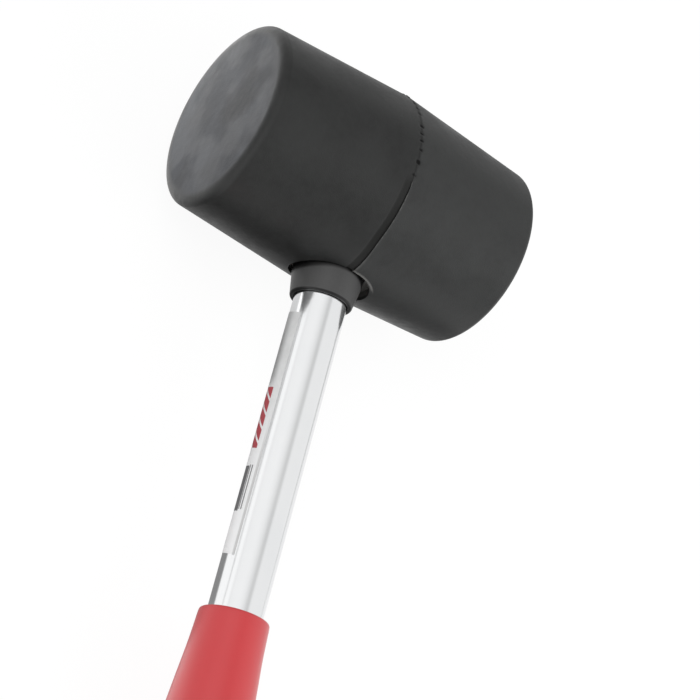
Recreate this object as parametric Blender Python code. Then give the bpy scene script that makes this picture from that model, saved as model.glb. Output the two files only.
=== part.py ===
"""Rubber mallet with a tubular steel handle.

The mallet is modelled upright: the head's axis lies along X at height zero and
the handle hangs down the Z axis. One empty then lays the whole mallet on its
back, tipped so that the girth of the head and the butt of the grip both touch
the ground. All sizes are in metres.
"""

import math

import bmesh
import bpy

# Head, two tapered halves that meet at the parting line
HEAD_LENGTH = 0.1156
GIRTH_RADIUS = 0.038
FACE_RADIUS = 0.0347
FACE_EDGE_RADIUS = 0.0045
SEAM_WIDTH = 0.0028
SEAM_DEPTH = 0.0006
# Steps of the trimmed band: how far from the lip, as a share of its width, and how deep
SEAM_STEPS = ((0.1, 1.0), (0.5, 0.7))
CROWN_THICKNESS = 0.0115
MOUTH_END_GAP = 0.0034
MOUTH_SIDE_GAP = 0.0005
MOUTH_SHIFT = 0.0015
MOUTH_DEPTH = 0.006

# Tube that makes the handle
OVERALL_LENGTH = 0.330
TUBE_RADIUS = 0.0095
TUBE_WALL = 0.0012
FLARE_HEIGHT = 0.006
FLARE_WIDTH = 0.0013

# Bush between the tube and the rubber
BUSH_WALL = 0.0032
BUSH_END_WALL = 0.0018
BUSH_DROP = 0.008
BUSH_CONE_HEIGHT = 0.0095
BUSH_EDGE_RADIUS = 0.0010
RIB_COUNT = 4
RIB_PITCH = 0.010
RIB_LENGTH = 0.003
RIB_HEIGHT = 0.0008

# Plug and wedge that hold the flare open
CORE_LENGTH = 0.055
CORE_CHAMFER = 0.001
WEDGE_LENGTH = 0.020
WEDGE_WIDTH = 0.013
WEDGE_THICKNESS = 0.0026
WEDGE_TIP = 0.0006
SLOT_RISE = 0.005

# Grip over the lower end of the tube
GRIP_LENGTH = 0.130
GRIP_RIM_EDGE = 0.0009
BUTT_RADIUS = 0.017
BUTT_EDGE_RADIUS = 0.006
BUTT_THICKNESS = 0.010
# Radius at some distance down from the rim, as a share of the grip's length
GRIP_RIM_RADIUS = 0.0121
GRIP_NECK = ((0.09, 0.0127), (0.20, 0.0139), (0.34, 0.0152))
GRIP_PALM = ((0.50, 0.0156), (0.66, 0.0150), (0.80, 0.0148), (0.90, 0.0160))
RING_COUNT = 8
RING_FIRST = 0.36
RING_LAST = 0.76
RING_WIDTH = 0.0018
RING_DEPTH = 0.0005
RING_FLAT = 0.4
# Height of the butt's shoulder in edge radii, and where the plain side has its points
BUTT_SHOULDER = 1.4
NECK_SPOTS = tuple(0.03 * i for i in range(1, 12))
HEEL_SPOTS = (0.79, 0.83, 0.87, 0.91)

# Plug in the lower end of the tube
PLUG_LENGTH = 0.014
PLUG_FLANGE = 0.002
PLUG_CHAMFER = 0.0008

# Sticker along the tube
LABEL_TOP = 0.0545
LABEL_LENGTH = 0.0895
LABEL_WIDTH = 0.019
LABEL_SLANT = 0.0038
LABEL_TURN = math.radians(124)
LABEL_THICKNESS = 0.00015

# Room left between pieces that touch on the real mallet
CLEARANCE = 0.0003
STICKER_CLEARANCE = 0.00006

# Facets round a turned piece
HEAD_FACETS = 72
HANDLE_FACETS = 48
ARC_FACETS = 6
SHARP_ANGLE = math.radians(32)

HANDLE_LENGTH = OVERALL_LENGTH - GIRTH_RADIUS
GRIP_RIM = GRIP_LENGTH - HANDLE_LENGTH
TUBE_BORE = TUBE_RADIUS - TUBE_WALL
TUBE_TOP = GIRTH_RADIUS - CROWN_THICKNESS
TUBE_BOTTOM = BUTT_THICKNESS + PLUG_FLANGE + 2 * CLEARANCE - HANDLE_LENGTH
BUSH_RADIUS = TUBE_RADIUS + BUSH_WALL
BUSH_END_RADIUS = TUBE_RADIUS + BUSH_END_WALL
BUSH_TOP = TUBE_TOP - FLARE_HEIGHT
BUSH_BOTTOM = -(GIRTH_RADIUS + BUSH_DROP)
MOUTH_HALF_LENGTH = BUSH_RADIUS + MOUTH_END_GAP
MOUTH_HALF_WIDTH = BUSH_RADIUS + MOUTH_SIDE_GAP
MOUTH_FLOOR = MOUTH_DEPTH - GIRTH_RADIUS


def clear_scene():
    """Remove whatever the scene holds."""
    for obj in list(bpy.data.objects):
        bpy.data.objects.remove(obj)


def material(name, colour, roughness, metallic=0.0):
    """Make a plain Principled material.

    Args:
        name: name of the material.
        colour: linear red, green and blue.
        roughness: roughness of the surface, 0 to 1.
        metallic: 1 for bare metal, 0 for anything else.
    """
    made = bpy.data.materials.new(name)
    made.use_nodes = True
    shader = made.node_tree.nodes["Principled BSDF"]
    shader.inputs["Base Color"].default_value = (*colour, 1.0)
    shader.inputs["Roughness"].default_value = roughness
    shader.inputs["Metallic"].default_value = metallic
    return made


def arc(centre, radius, start, end, count=ARC_FACETS):
    """Points of an arc in a turned outline, angles in radians from the outward direction."""
    points = []
    for i in range(count + 1):
        angle = start + (end - start) * i / count
        points.append((centre[0] + radius * math.cos(angle), centre[1] + radius * math.sin(angle)))
    return points


def add_mesh(name, mesh, finish, parent):
    """Put a mesh in the scene as one named piece of the mallet."""
    obj = bpy.data.objects.new(name, mesh)
    bpy.context.scene.collection.objects.link(obj)
    obj.parent = parent
    if finish is not None:
        mesh.materials.append(finish)
    return obj


def turned(name, outline, facets, finish, parent, closed=False):
    """Turn an outline about the Z axis.

    Args:
        name: name of the piece.
        outline: (radius, height) points, down the outer side.
        facets: facets in a full turn.
        finish: material, or None for a cutter.
        parent: empty that carries the piece.
        closed: True where the outline is a ring clear of the axis.
    """
    mesh = bpy.data.meshes.new(name)
    points = [(radius, 0.0, height) for radius, height in outline]
    edges = [(i, i + 1) for i in range(len(points) - 1)]
    if closed:
        edges.append((len(points) - 1, 0))
    mesh.from_pydata(points, edges, [])
    obj = add_mesh(name, mesh, finish, parent)
    screw = obj.modifiers.new("turn", "SCREW")
    screw.steps = facets
    screw.render_steps = facets
    screw.use_merge_vertices = True
    screw.merge_threshold = 1e-5
    screw.use_smooth_shade = True
    return obj


def cut_away(obj, cutter):
    """Cut one solid out of another."""
    cut = obj.modifiers.new(cutter.name, "BOOLEAN")
    cut.operation = "DIFFERENCE"
    cut.solver = "EXACT"
    cut.object = cutter
    cutter.hide_render = True
    cutter.display_type = "WIRE"


def finish_mesh(obj, *cutters):
    """Turn the modifiers into the mesh they make, smooth but for its sharp edges."""
    graph = bpy.context.evaluated_depsgraph_get()
    made = bpy.data.meshes.new_from_object(obj.evaluated_get(graph))
    obj.modifiers.clear()
    obj.data = made
    made.set_sharp_from_angle(angle=SHARP_ANGLE)
    for cutter in cutters:
        bpy.data.objects.remove(cutter)


def head_outline():
    """Outline of the head about its own axis, from the right face to the left."""
    half = HEAD_LENGTH / 2
    taper = math.atan2(GIRTH_RADIUS - FACE_RADIUS, half)
    height = half - FACE_EDGE_RADIUS
    radius = GIRTH_RADIUS - height * math.tan(taper) - FACE_EDGE_RADIUS / math.cos(taper)
    right = arc((radius, height), FACE_EDGE_RADIUS, math.pi / 2, taper)
    left = arc((radius, -height), FACE_EDGE_RADIUS, -taper, -math.pi / 2)
    # The left half is trimmed back along the parting line, the right half ends in a lip there.
    steps = [(GIRTH_RADIUS - deep * SEAM_DEPTH, -across * SEAM_WIDTH) for across, deep in SEAM_STEPS]
    seam = [(GIRTH_RADIUS, 0.0), *steps, (GIRTH_RADIUS - SEAM_WIDTH * math.tan(taper), -SEAM_WIDTH)]
    return [(0.0, half), *right, *seam, *left, (0.0, -half)]


def bush_side(room=0.0):
    """Outer side of the bush inside the head, ribs and all, grown by some room for the bore."""
    points = [(BUSH_RADIUS + room, BUSH_TOP + room)]
    for i in range(RIB_COUNT):
        top = BUSH_TOP - RIB_PITCH * (i + 0.5)
        points.append((BUSH_RADIUS + room, top + room))
        points.append((BUSH_RADIUS + RIB_HEIGHT + room, top + room))
        points.append((BUSH_RADIUS + room, top - RIB_LENGTH - room))
    return points


def bore_outline():
    """Outline of the bore that is cut out of the head for the bush and the flared tube."""
    top = TUBE_TOP + CLEARANCE
    flare = TUBE_RADIUS + FLARE_WIDTH + CLEARANCE
    bottom = -2 * GIRTH_RADIUS
    return [
        (0.0, top),
        (flare, top),
        (flare, BUSH_TOP + CLEARANCE),
        *bush_side(CLEARANCE),
        (BUSH_RADIUS + CLEARANCE, bottom),
        (0.0, bottom),
    ]


def mouth_outline():
    """Outline of the shallow well round the bush, before it is drawn out along the head."""
    bottom = -2 * GIRTH_RADIUS
    return [
        (0.0, MOUTH_FLOOR),
        (MOUTH_HALF_WIDTH, MOUTH_FLOOR),
        (MOUTH_HALF_WIDTH, bottom),
        (0.0, bottom),
    ]


def bush_outline():
    """Outline of the bush: ribbed barrel, conical end, and a bore with a countersunk top."""
    inner = TUBE_RADIUS + CLEARANCE
    edge = BUSH_EDGE_RADIUS
    rim = arc((BUSH_END_RADIUS - edge, BUSH_BOTTOM + edge), edge, 0.0, -math.pi / 2, 3)
    return [
        *bush_side(),
        (BUSH_RADIUS, BUSH_BOTTOM + BUSH_CONE_HEIGHT),
        *rim,
        (inner + CLEARANCE, BUSH_BOTTOM),
        (inner, BUSH_BOTTOM + CLEARANCE),
        (inner, BUSH_TOP - CLEARANCE),
        (inner + CLEARANCE, BUSH_TOP),
    ]


def tube_outline():
    """Outline of the tube wall, flared at the top."""
    flare_foot = TUBE_TOP - FLARE_HEIGHT + 2 * CLEARANCE
    return [
        (TUBE_RADIUS + FLARE_WIDTH, TUBE_TOP),
        (TUBE_RADIUS, flare_foot),
        (TUBE_RADIUS, TUBE_BOTTOM),
        (TUBE_BORE, TUBE_BOTTOM),
        (TUBE_BORE, flare_foot),
        (TUBE_BORE + FLARE_WIDTH, TUBE_TOP),
    ]


def core_outline():
    """Outline of the hardwood plug in the top of the tube."""
    radius = TUBE_BORE - CLEARANCE
    foot = TUBE_TOP - CORE_LENGTH
    flare_foot = TUBE_TOP - FLARE_HEIGHT + 2 * CLEARANCE
    return [
        (0.0, TUBE_TOP),
        (radius + FLARE_WIDTH, TUBE_TOP),
        (radius, flare_foot),
        (radius, foot + CORE_CHAMFER),
        (radius - CORE_CHAMFER, foot),
        (0.0, foot),
    ]


def wedge(name, finish, parent, room=0.0, above=0.0):
    """Steel wedge that splits the core from above, or with some room, the slot for it.

    Args:
        name: name of the piece.
        finish: material, or None for a cutter.
        parent: empty that carries the piece.
        room: how far every side is moved out.
        above: how far the top is carried on above the core.
    """
    slope = (WEDGE_THICKNESS - WEDGE_TIP) / 2 / WEDGE_LENGTH
    top = WEDGE_THICKNESS / 2 + room + slope * above
    tip = WEDGE_TIP / 2 + room
    side = WEDGE_WIDTH / 2 + room
    mesh = bpy.data.meshes.new(name)
    shape = bmesh.new()
    foot = [shape.verts.new((x, y, -WEDGE_LENGTH - room)) for x, y in corners(tip, side)]
    crown = [shape.verts.new((x, y, above)) for x, y in corners(top, side)]
    shape.faces.new(reversed(foot))
    shape.faces.new(crown)
    for i in range(4):
        shape.faces.new((foot[i], foot[i - 3], crown[i - 3], crown[i]))
    shape.to_mesh(mesh)
    shape.free()
    obj = add_mesh(name, mesh, finish, parent)
    obj.location = (0.0, 0.0, TUBE_TOP)
    return obj


def corners(half_width, half_depth):
    """Corners of a rectangle about the origin, anticlockwise."""
    return (
        (-half_width, -half_depth),
        (half_width, -half_depth),
        (half_width, half_depth),
        (-half_width, half_depth),
    )


def smooth_radius(stations, height):
    """Radius at a height on a smooth curve through (height, radius) stations, lowest height first."""
    count = len(stations)
    i = 0
    while i < count - 2 and height > stations[i + 1][0]:
        i += 1
    (low, start), (high, end) = stations[i], stations[i + 1]
    before = stations[max(i - 1, 0)]
    after = stations[min(i + 2, count - 1)]
    step = high - low
    leave = (end - before[1]) / (high - before[0]) * step
    arrive = (after[1] - start) / (after[0] - low) * step
    t = (height - low) / step
    return (
        (2 * t**3 - 3 * t**2 + 1) * start
        + (t**3 - 2 * t**2 + t) * leave
        + (3 * t**2 - 2 * t**3) * end
        + (t**3 - t**2) * arrive
    )


def grip_side():
    """Outer side of the grip below its rim, as (radius, height), with the rings cut in."""
    butt_top = 1 - BUTT_SHOULDER * BUTT_EDGE_RADIUS / GRIP_LENGTH
    stations = [(0.0, GRIP_RIM_RADIUS), *GRIP_NECK, *GRIP_PALM, (butt_top, BUTT_RADIUS)]
    rings = []
    for i in range(RING_COUNT):
        middle = RING_FIRST + (RING_LAST - RING_FIRST) * i / (RING_COUNT - 1)
        half = RING_WIDTH / 2 / GRIP_LENGTH
        rings += [(middle - half, 0.0), (middle - RING_FLAT * half, RING_DEPTH)]
        rings += [(middle + RING_FLAT * half, RING_DEPTH), (middle + half, 0.0)]
    marks = sorted([(share, 0.0) for share in (*NECK_SPOTS, *HEEL_SPOTS)] + rings)
    return [
        (smooth_radius(stations, share) - depth, GRIP_RIM - share * GRIP_LENGTH)
        for share, depth in marks
        if GRIP_RIM_EDGE < share * GRIP_LENGTH and share < butt_top
    ]


def grip_outline():
    """Outline of the grip: blind bore, rounded rim, ringed palm and rounded butt."""
    inner = TUBE_RADIUS + CLEARANCE
    floor = BUTT_THICKNESS - HANDLE_LENGTH
    edge = GRIP_RIM_EDGE
    rim = arc((GRIP_RIM_RADIUS - edge, GRIP_RIM - edge), edge, math.pi / 2, 0.0, 4)
    butt_edge = (BUTT_RADIUS - BUTT_EDGE_RADIUS, BUTT_EDGE_RADIUS - HANDLE_LENGTH)
    butt = arc(butt_edge, BUTT_EDGE_RADIUS, 0.0, -math.pi / 2)
    return [
        (0.0, floor),
        (inner, floor),
        (inner, GRIP_RIM),
        *rim,
        *grip_side(),
        *butt,
        (0.0, -HANDLE_LENGTH),
    ]


def plug_outline():
    """Outline of the plug in the lower end of the tube, with a flange under the tube."""
    radius = TUBE_BORE - CLEARANCE
    seat = TUBE_BOTTOM - CLEARANCE
    top = seat + PLUG_LENGTH
    return [
        (0.0, top),
        (radius - PLUG_CHAMFER, top),
        (radius, top - PLUG_CHAMFER),
        (radius, seat),
        (TUBE_RADIUS, seat),
        (TUBE_RADIUS, seat - PLUG_FLANGE),
        (0.0, seat - PLUG_FLANGE),
    ]


def build_head(parent):
    """Rubber head, lying along X, with the bore cut up into it."""
    rubber = material("black_rubber", (0.028, 0.029, 0.029), 0.62)
    head = turned("rubber_head", head_outline(), HEAD_FACETS, rubber, parent)
    head.rotation_euler = (0.0, math.pi / 2, 0.0)
    bore = turned("bore", bore_outline(), HANDLE_FACETS, None, parent)
    # The mouth is oval and off centre, so that the right half stands further clear of the bush.
    mouth = turned("mouth", mouth_outline(), HANDLE_FACETS, None, parent)
    mouth.location = (MOUTH_SHIFT, 0.0, 0.0)
    mouth.scale = (MOUTH_HALF_LENGTH / MOUTH_HALF_WIDTH, 1.0, 1.0)
    cut_away(head, bore)
    cut_away(head, mouth)
    finish_mesh(head, bore, mouth)


def build_handle(parent):
    """Bush, tube, core, wedge and end plug, all on the handle's axis."""
    plastic = material("grey_plastic", (0.075, 0.075, 0.075), 0.5)
    chrome = material("chrome", (0.82, 0.83, 0.84), 0.12, 1.0)
    hardwood = material("hardwood", (0.52, 0.34, 0.18), 0.6)
    steel = material("wedge_steel", (0.45, 0.45, 0.46), 0.35, 1.0)
    dark_plastic = material("dark_plastic", (0.03, 0.03, 0.03), 0.5)
    finish_mesh(turned("handle_bush", bush_outline(), HANDLE_FACETS, plastic, parent, closed=True))
    finish_mesh(turned("handle_tube", tube_outline(), HANDLE_FACETS, chrome, parent, closed=True))
    core = turned("tube_core", core_outline(), HANDLE_FACETS, hardwood, parent)
    slot = wedge("wedge_slot", None, parent, room=CLEARANCE, above=SLOT_RISE)
    cut_away(core, slot)
    finish_mesh(core, slot)
    wedge("core_wedge", steel, parent)
    finish_mesh(turned("tube_end_plug", plug_outline(), HANDLE_FACETS, dark_plastic, parent))


def build_label(parent):
    """Sticker that follows the facets of the tube, from a strip turned part of the way round it.

    The strip starts at the sticker's far edge and drops by its slant on the way to the near one.
    """
    film = material("silver_film", (0.62, 0.62, 0.63), 0.4)
    facet = 2 * math.pi / HANDLE_FACETS
    count = max(2, round(LABEL_WIDTH / (TUBE_RADIUS * facet)))
    first = round((LABEL_TURN - math.pi / 2) / facet - count / 2)
    top = LABEL_SLANT - LABEL_TOP
    radius = TUBE_RADIUS + STICKER_CLEARANCE
    mesh = bpy.data.meshes.new("label")
    mesh.from_pydata([(radius, 0.0, top), (radius, 0.0, top - LABEL_LENGTH)], [(0, 1)], [])
    label = add_mesh("label", mesh, film, parent)
    screw = label.modifiers.new("turn", "SCREW")
    screw.angle = count * facet
    screw.screw_offset = -LABEL_SLANT
    screw.steps = count
    screw.render_steps = count
    screw.use_smooth_shade = True
    shell = label.modifiers.new("film", "SOLIDIFY")
    shell.thickness = LABEL_THICKNESS
    shell.offset = 1.0
    # Turned from the front of the tube towards the left face of the head
    label.rotation_euler = (0.0, 0.0, -math.pi - (first + count) * facet)
    finish_mesh(label)


def build_grip(parent):
    """Red grip pushed over the lower end of the tube."""
    vinyl = material("red_vinyl", (0.52, 0.045, 0.05), 0.35)
    finish_mesh(turned("grip", grip_outline(), HANDLE_FACETS, vinyl, parent))


def lay_down(parent):
    """Lay the mallet on its back, with its girth and its butt on the ground and its box centred."""
    reach = HANDLE_LENGTH - BUTT_EDGE_RADIUS
    rise = BUTT_RADIUS - BUTT_EDGE_RADIUS
    tip = math.asin((GIRTH_RADIUS - BUTT_EDGE_RADIUS) / math.hypot(reach, rise)) - math.atan2(rise, reach)
    far = reach * math.cos(tip) + rise * math.sin(tip) + BUTT_EDGE_RADIUS
    parent.rotation_euler = (tip - math.pi / 2, 0.0, 0.0)
    parent.location = (0.0, (far - GIRTH_RADIUS) / 2, GIRTH_RADIUS)


def main():
    """Build the mallet."""
    clear_scene()
    mallet = bpy.data.objects.new("mallet", None)
    bpy.context.scene.collection.objects.link(mallet)
    build_head(mallet)
    build_handle(mallet)
    build_label(mallet)
    build_grip(mallet)
    lay_down(mallet)


main()
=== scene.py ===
"""Looks of a rubber mallet with a chromed tube for a handle and a red vinyl grip.

The pieces are modelled upright, with the head's axis along X at height zero and
the handle down the Z axis, and are then laid down where the frame has them.
"""

import logging
import math
from collections.abc import Callable, Iterable, Sequence
from dataclasses import dataclass
from enum import Enum
from typing import Any

import bmesh
import bpy
from mathutils import Matrix, Vector, noise


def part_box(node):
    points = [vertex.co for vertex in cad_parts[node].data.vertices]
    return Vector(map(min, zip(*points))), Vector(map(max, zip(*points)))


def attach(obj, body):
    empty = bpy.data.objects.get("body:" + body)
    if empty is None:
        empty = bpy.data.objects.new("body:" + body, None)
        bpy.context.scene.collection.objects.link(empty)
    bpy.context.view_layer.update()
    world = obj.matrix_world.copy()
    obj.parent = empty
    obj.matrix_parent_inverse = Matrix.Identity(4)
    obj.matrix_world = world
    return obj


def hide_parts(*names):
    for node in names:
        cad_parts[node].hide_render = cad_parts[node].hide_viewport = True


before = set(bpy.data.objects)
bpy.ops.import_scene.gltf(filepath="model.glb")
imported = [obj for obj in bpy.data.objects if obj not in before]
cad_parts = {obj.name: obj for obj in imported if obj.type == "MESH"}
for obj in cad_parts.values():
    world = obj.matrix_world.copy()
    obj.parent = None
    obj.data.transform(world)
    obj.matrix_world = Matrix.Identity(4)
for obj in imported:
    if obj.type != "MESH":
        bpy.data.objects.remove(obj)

LOG = logging.getLogger("mallet")
BODY = "root"
MM = 0.001
ROUND_STEPS = 128
TUBE_RADIUS = 9.5 * MM

Colour = tuple[float, float, float]
Point = tuple[float, float, float]
Pair = tuple[float, float]
Span = tuple[str, float, float] | tuple[str, float, float, float, float]
Spans = tuple[Span, ...]
Socket = bpy.types.NodeSocket
Places = dict[str, Socket]
Piece = bpy.types.Object
Paint = bpy.types.Material


class Axis(Enum):
    """The two axes that pieces are turned about."""

    HEAD = (1.0, 0.0, 0.0)
    HANDLE = (0.0, 0.0, 1.0)


def smoothstep(low: float, high: float, value: float) -> float:
    """Ease from 0 at low to 1 at high.

    Args:
        low: value at which the result leaves 0.
        high: value at which the result reaches 1.
        value: value to ease.

    Returns:
        A number from 0 to 1.
    """
    t = min(max((value - low) / (high - low), 0.0), 1.0)
    return t * t * (3.0 - 2.0 * t)


def arc(centre: Pair, radius: float, start: float, end: float, count: int) -> list[Pair]:
    """Points along an arc of an outline.

    Args:
        centre: middle of the arc, as radius and height.
        radius: radius of the arc.
        start: first angle in radians, from the outward direction.
        end: last angle in radians.
        count: number of steps.

    Returns:
        The points, both ends included.
    """
    angles = [start + (end - start) * i / count for i in range(count + 1)]
    return [(centre[0] + radius * math.cos(a), centre[1] + radius * math.sin(a)) for a in angles]


@dataclass(frozen=True)
class Lie:
    """How the mallet lies: its girth and its butt both on the ground."""

    girth_radius: float = 38.0 * MM
    handle_length: float = 292.0 * MM
    butt_radius: float = 17.0 * MM
    butt_edge: float = 6.0 * MM

    @property
    def tip(self) -> float:
        """Angle by which the handle slopes down to the ground."""
        reach = self.handle_length - self.butt_edge
        rise = self.butt_radius - self.butt_edge
        drop = self.girth_radius - self.butt_edge
        return math.asin(drop / math.hypot(reach, rise)) - math.atan2(rise, reach)

    @property
    def turn(self) -> float:
        """Turn about X that lays the upright mallet on its back."""
        return self.tip - math.pi / 2

    @property
    def centre(self) -> Vector:
        """Middle of the head, read from the frame."""
        low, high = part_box("rubber_head")
        return Vector(((low[0] + high[0]) / 2, high[1] - self.girth_radius, (low[2] + high[2]) / 2))

    @property
    def matrix(self) -> Matrix:
        """Takes a point of the upright mallet to its place in the frame."""
        return Matrix.Translation(self.centre) @ Matrix.Rotation(self.turn, 4, "X")


class Bench:
    """Modelling moves that several pieces share."""

    SEED_SIZE = 0.01
    SPIN_MERGE = 2e-6
    CUT_MERGE = 5e-6
    SLIVER_AREA = 1e-9

    @staticmethod
    def deselect() -> None:
        """Leave nothing selected, so that an operator acts on one piece alone."""
        for obj in bpy.context.selected_objects:
            obj.select_set(False)

    @staticmethod
    def pick(piece: Piece) -> None:
        """Make one piece the only selected one, and the active one."""
        Bench.deselect()
        piece.select_set(True)
        bpy.context.view_layer.objects.active = piece

    @staticmethod
    def turn(name: str, outline: Sequence[Point], axis: Axis, steps: int, sweep: float = math.tau) -> Piece:
        """Draw an outline by extruding a point, and spin it round an axis.

        Args:
            name: name of the piece.
            outline: points of the outline, in metres.
            axis: axis of the spin.
            steps: steps in the sweep.
            sweep: angle of the spin in radians.

        Returns:
            The turned piece, with its doubles merged and its faces outwards.
        """
        Bench.deselect()
        bpy.ops.mesh.primitive_plane_add(size=Bench.SEED_SIZE)
        piece = bpy.context.active_object
        piece.name = name
        piece.data.name = name
        bpy.ops.object.mode_set(mode="EDIT")
        bpy.ops.mesh.select_all(action="SELECT")
        bpy.ops.mesh.merge(type="CENTER")
        bpy.ops.transform.translate(value=outline[0])
        for before, after in zip(outline, outline[1:]):
            step = [b - a for a, b in zip(before, after)]
            bpy.ops.mesh.extrude_vertices_move(TRANSFORM_OT_translate={"value": step})
        bpy.ops.mesh.select_all(action="SELECT")
        bpy.ops.mesh.spin(steps=steps, angle=sweep, center=(0.0, 0.0, 0.0), axis=axis.value)
        bpy.ops.mesh.select_all(action="SELECT")
        bpy.ops.mesh.remove_doubles(threshold=Bench.SPIN_MERGE)
        bpy.ops.mesh.normals_make_consistent(inside=False)
        bpy.ops.object.mode_set(mode="OBJECT")
        return piece

    @staticmethod
    def apply(piece: Piece, modifier: bpy.types.Modifier) -> None:
        """Apply one modifier of a piece."""
        Bench.pick(piece)
        bpy.ops.object.modifier_apply(modifier=modifier.name)

    @staticmethod
    def cut(piece: Piece, cutter: Piece) -> None:
        """Cut one piece out of another and drop the cutter."""
        modifier = piece.modifiers.new("cut", "BOOLEAN")
        modifier.operation = "DIFFERENCE"
        modifier.solver = "EXACT"
        modifier.object = cutter
        Bench.apply(piece, modifier)
        bpy.data.objects.remove(cutter)
        Bench.clean(piece)

    @staticmethod
    def clean(piece: Piece) -> None:
        """Merge the points that a cut leaves double, and drop slivers that lie back to back."""
        mesh = bmesh.new()
        mesh.from_mesh(piece.data)
        bmesh.ops.remove_doubles(mesh, verts=mesh.verts, dist=Bench.CUT_MERGE)
        bmesh.ops.dissolve_degenerate(mesh, edges=mesh.edges, dist=Bench.CUT_MERGE)
        bmesh.ops.triangulate(mesh, faces=[face for face in mesh.faces if len(face.verts) > 4])
        crowded = {face for edge in mesh.edges if len(edge.link_faces) > 2 for face in edge.link_faces}
        slivers = [face for face in crowded if face.calc_area() < Bench.SLIVER_AREA]
        LOG.info("%s: %d slivers dropped", piece.name, len(slivers))
        bmesh.ops.delete(mesh, geom=slivers, context="FACES")
        mesh.to_mesh(piece.data)
        mesh.free()


class Tree:
    """Nodes of one material or group, added and joined in a few words."""

    def __init__(self, tree: bpy.types.NodeTree) -> None:
        """Keep the tree that nodes are added to."""
        self.tree = tree

    def add(self, kind: str, inputs: dict[str | int, Any] | None = None, **settings: Any) -> bpy.types.Node:
        """Add a node, set it up, and join or fill its inputs.

        Args:
            kind: type of node, without its ShaderNode prefix.
            inputs: socket name or number to a value, or to the output that feeds it.
            settings: properties of the node.

        Returns:
            The node.
        """
        node = self.tree.nodes.new("ShaderNode" + kind)
        for key, value in settings.items():
            setattr(node, key, value)
        for key, value in (inputs or {}).items():
            self.feed(node.inputs[key], value)
        return node

    def feed(self, socket: Socket, value: Any) -> None:
        """Join an output to a socket, or set the socket's value."""
        if isinstance(value, Socket):
            self.tree.links.new(value, socket)
        elif isinstance(value, tuple) and len(value) == 3 and socket.type == "RGBA":
            socket.default_value = (*value, 1.0)
        else:
            socket.default_value = value

    def math(self, operation: str, *values: Any, clamp: bool = False) -> Socket:
        """Output of a Math node on some values."""
        node = self.add("Math", dict(enumerate(values)), operation=operation, use_clamp=clamp)
        return node.outputs[0]

    def times(self, first: Any, *others: Any) -> Socket:
        """Product of some values, taken in order."""
        for other in others:
            first = self.math("MULTIPLY", first, other)
        return first

    def length(self, first: Any, second: Any) -> Socket:
        """Distance from the origin of a point with two coordinates."""
        squares = self.math("ADD", self.times(first, first), self.times(second, second))
        return self.math("SQRT", squares)

    def mix(self, factor: Any, first: Any, second: Any) -> Socket:
        """Value that goes from the first to the second as the factor goes from 0 to 1."""
        return self.add("Mix", {0: factor, 2: first, 3: second}).outputs[0]

    def product(self, places: Places, spans: Spans) -> Socket:
        """Product of ramps, each of which names its coordinate and gives its numbers."""
        return self.times(*(self.ramp(places[name], *numbers) for name, *numbers in spans))

    def seen(self) -> tuple[Socket, Socket]:
        """Masks of what the camera sees straight, and of what shows in or through a surface."""
        path = self.add("LightPath").outputs
        mirrored = self.math("ADD", path["Is Glossy Ray"], path["Is Transmission Ray"], clamp=True)
        return path["Is Camera Ray"], mirrored

    def ramp(self, value: Any, low: float, high: float, start: float = 0.0, end: float = 1.0) -> Socket:
        """Output that eases from start to end as a value goes from low to high."""
        node = self.add(
            "MapRange",
            {"Value": value, "From Min": low, "From Max": high, "To Min": start, "To Max": end},
            interpolation_type="SMOOTHSTEP",
        )
        return node.outputs[0]

    def blend(self, factor: Any, first: Any, second: Any) -> Socket:
        """Colour that goes from the first to the second as the factor goes from 0 to 1."""
        node = self.add("Mix", {0: factor, 6: first, 7: second}, data_type="RGBA")
        return node.outputs[2]

    def noise(self, vector: Any, scale: Any, detail: float = 3.0, rough: float = 0.5) -> Socket:
        """Value of a noise texture."""
        inputs = {"Vector": vector, "Scale": scale, "Detail": detail, "Roughness": rough}
        return self.add("TexNoise", inputs).outputs[0]

    def apart(self, vector: Any) -> tuple[Socket, ...]:
        """X, Y and Z of a vector."""
        return tuple(self.add("SeparateXYZ", {0: vector}).outputs)

    def group(self, made: bpy.types.NodeTree, **inputs: Any) -> bpy.types.Node:
        """Place a shared group, with the values of this material."""
        node = self.tree.nodes.new("ShaderNodeGroup")
        node.node_tree = made
        for key, value in inputs.items():
            self.feed(node.inputs[key.replace("_", " ").title()], value)
        return node


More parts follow.
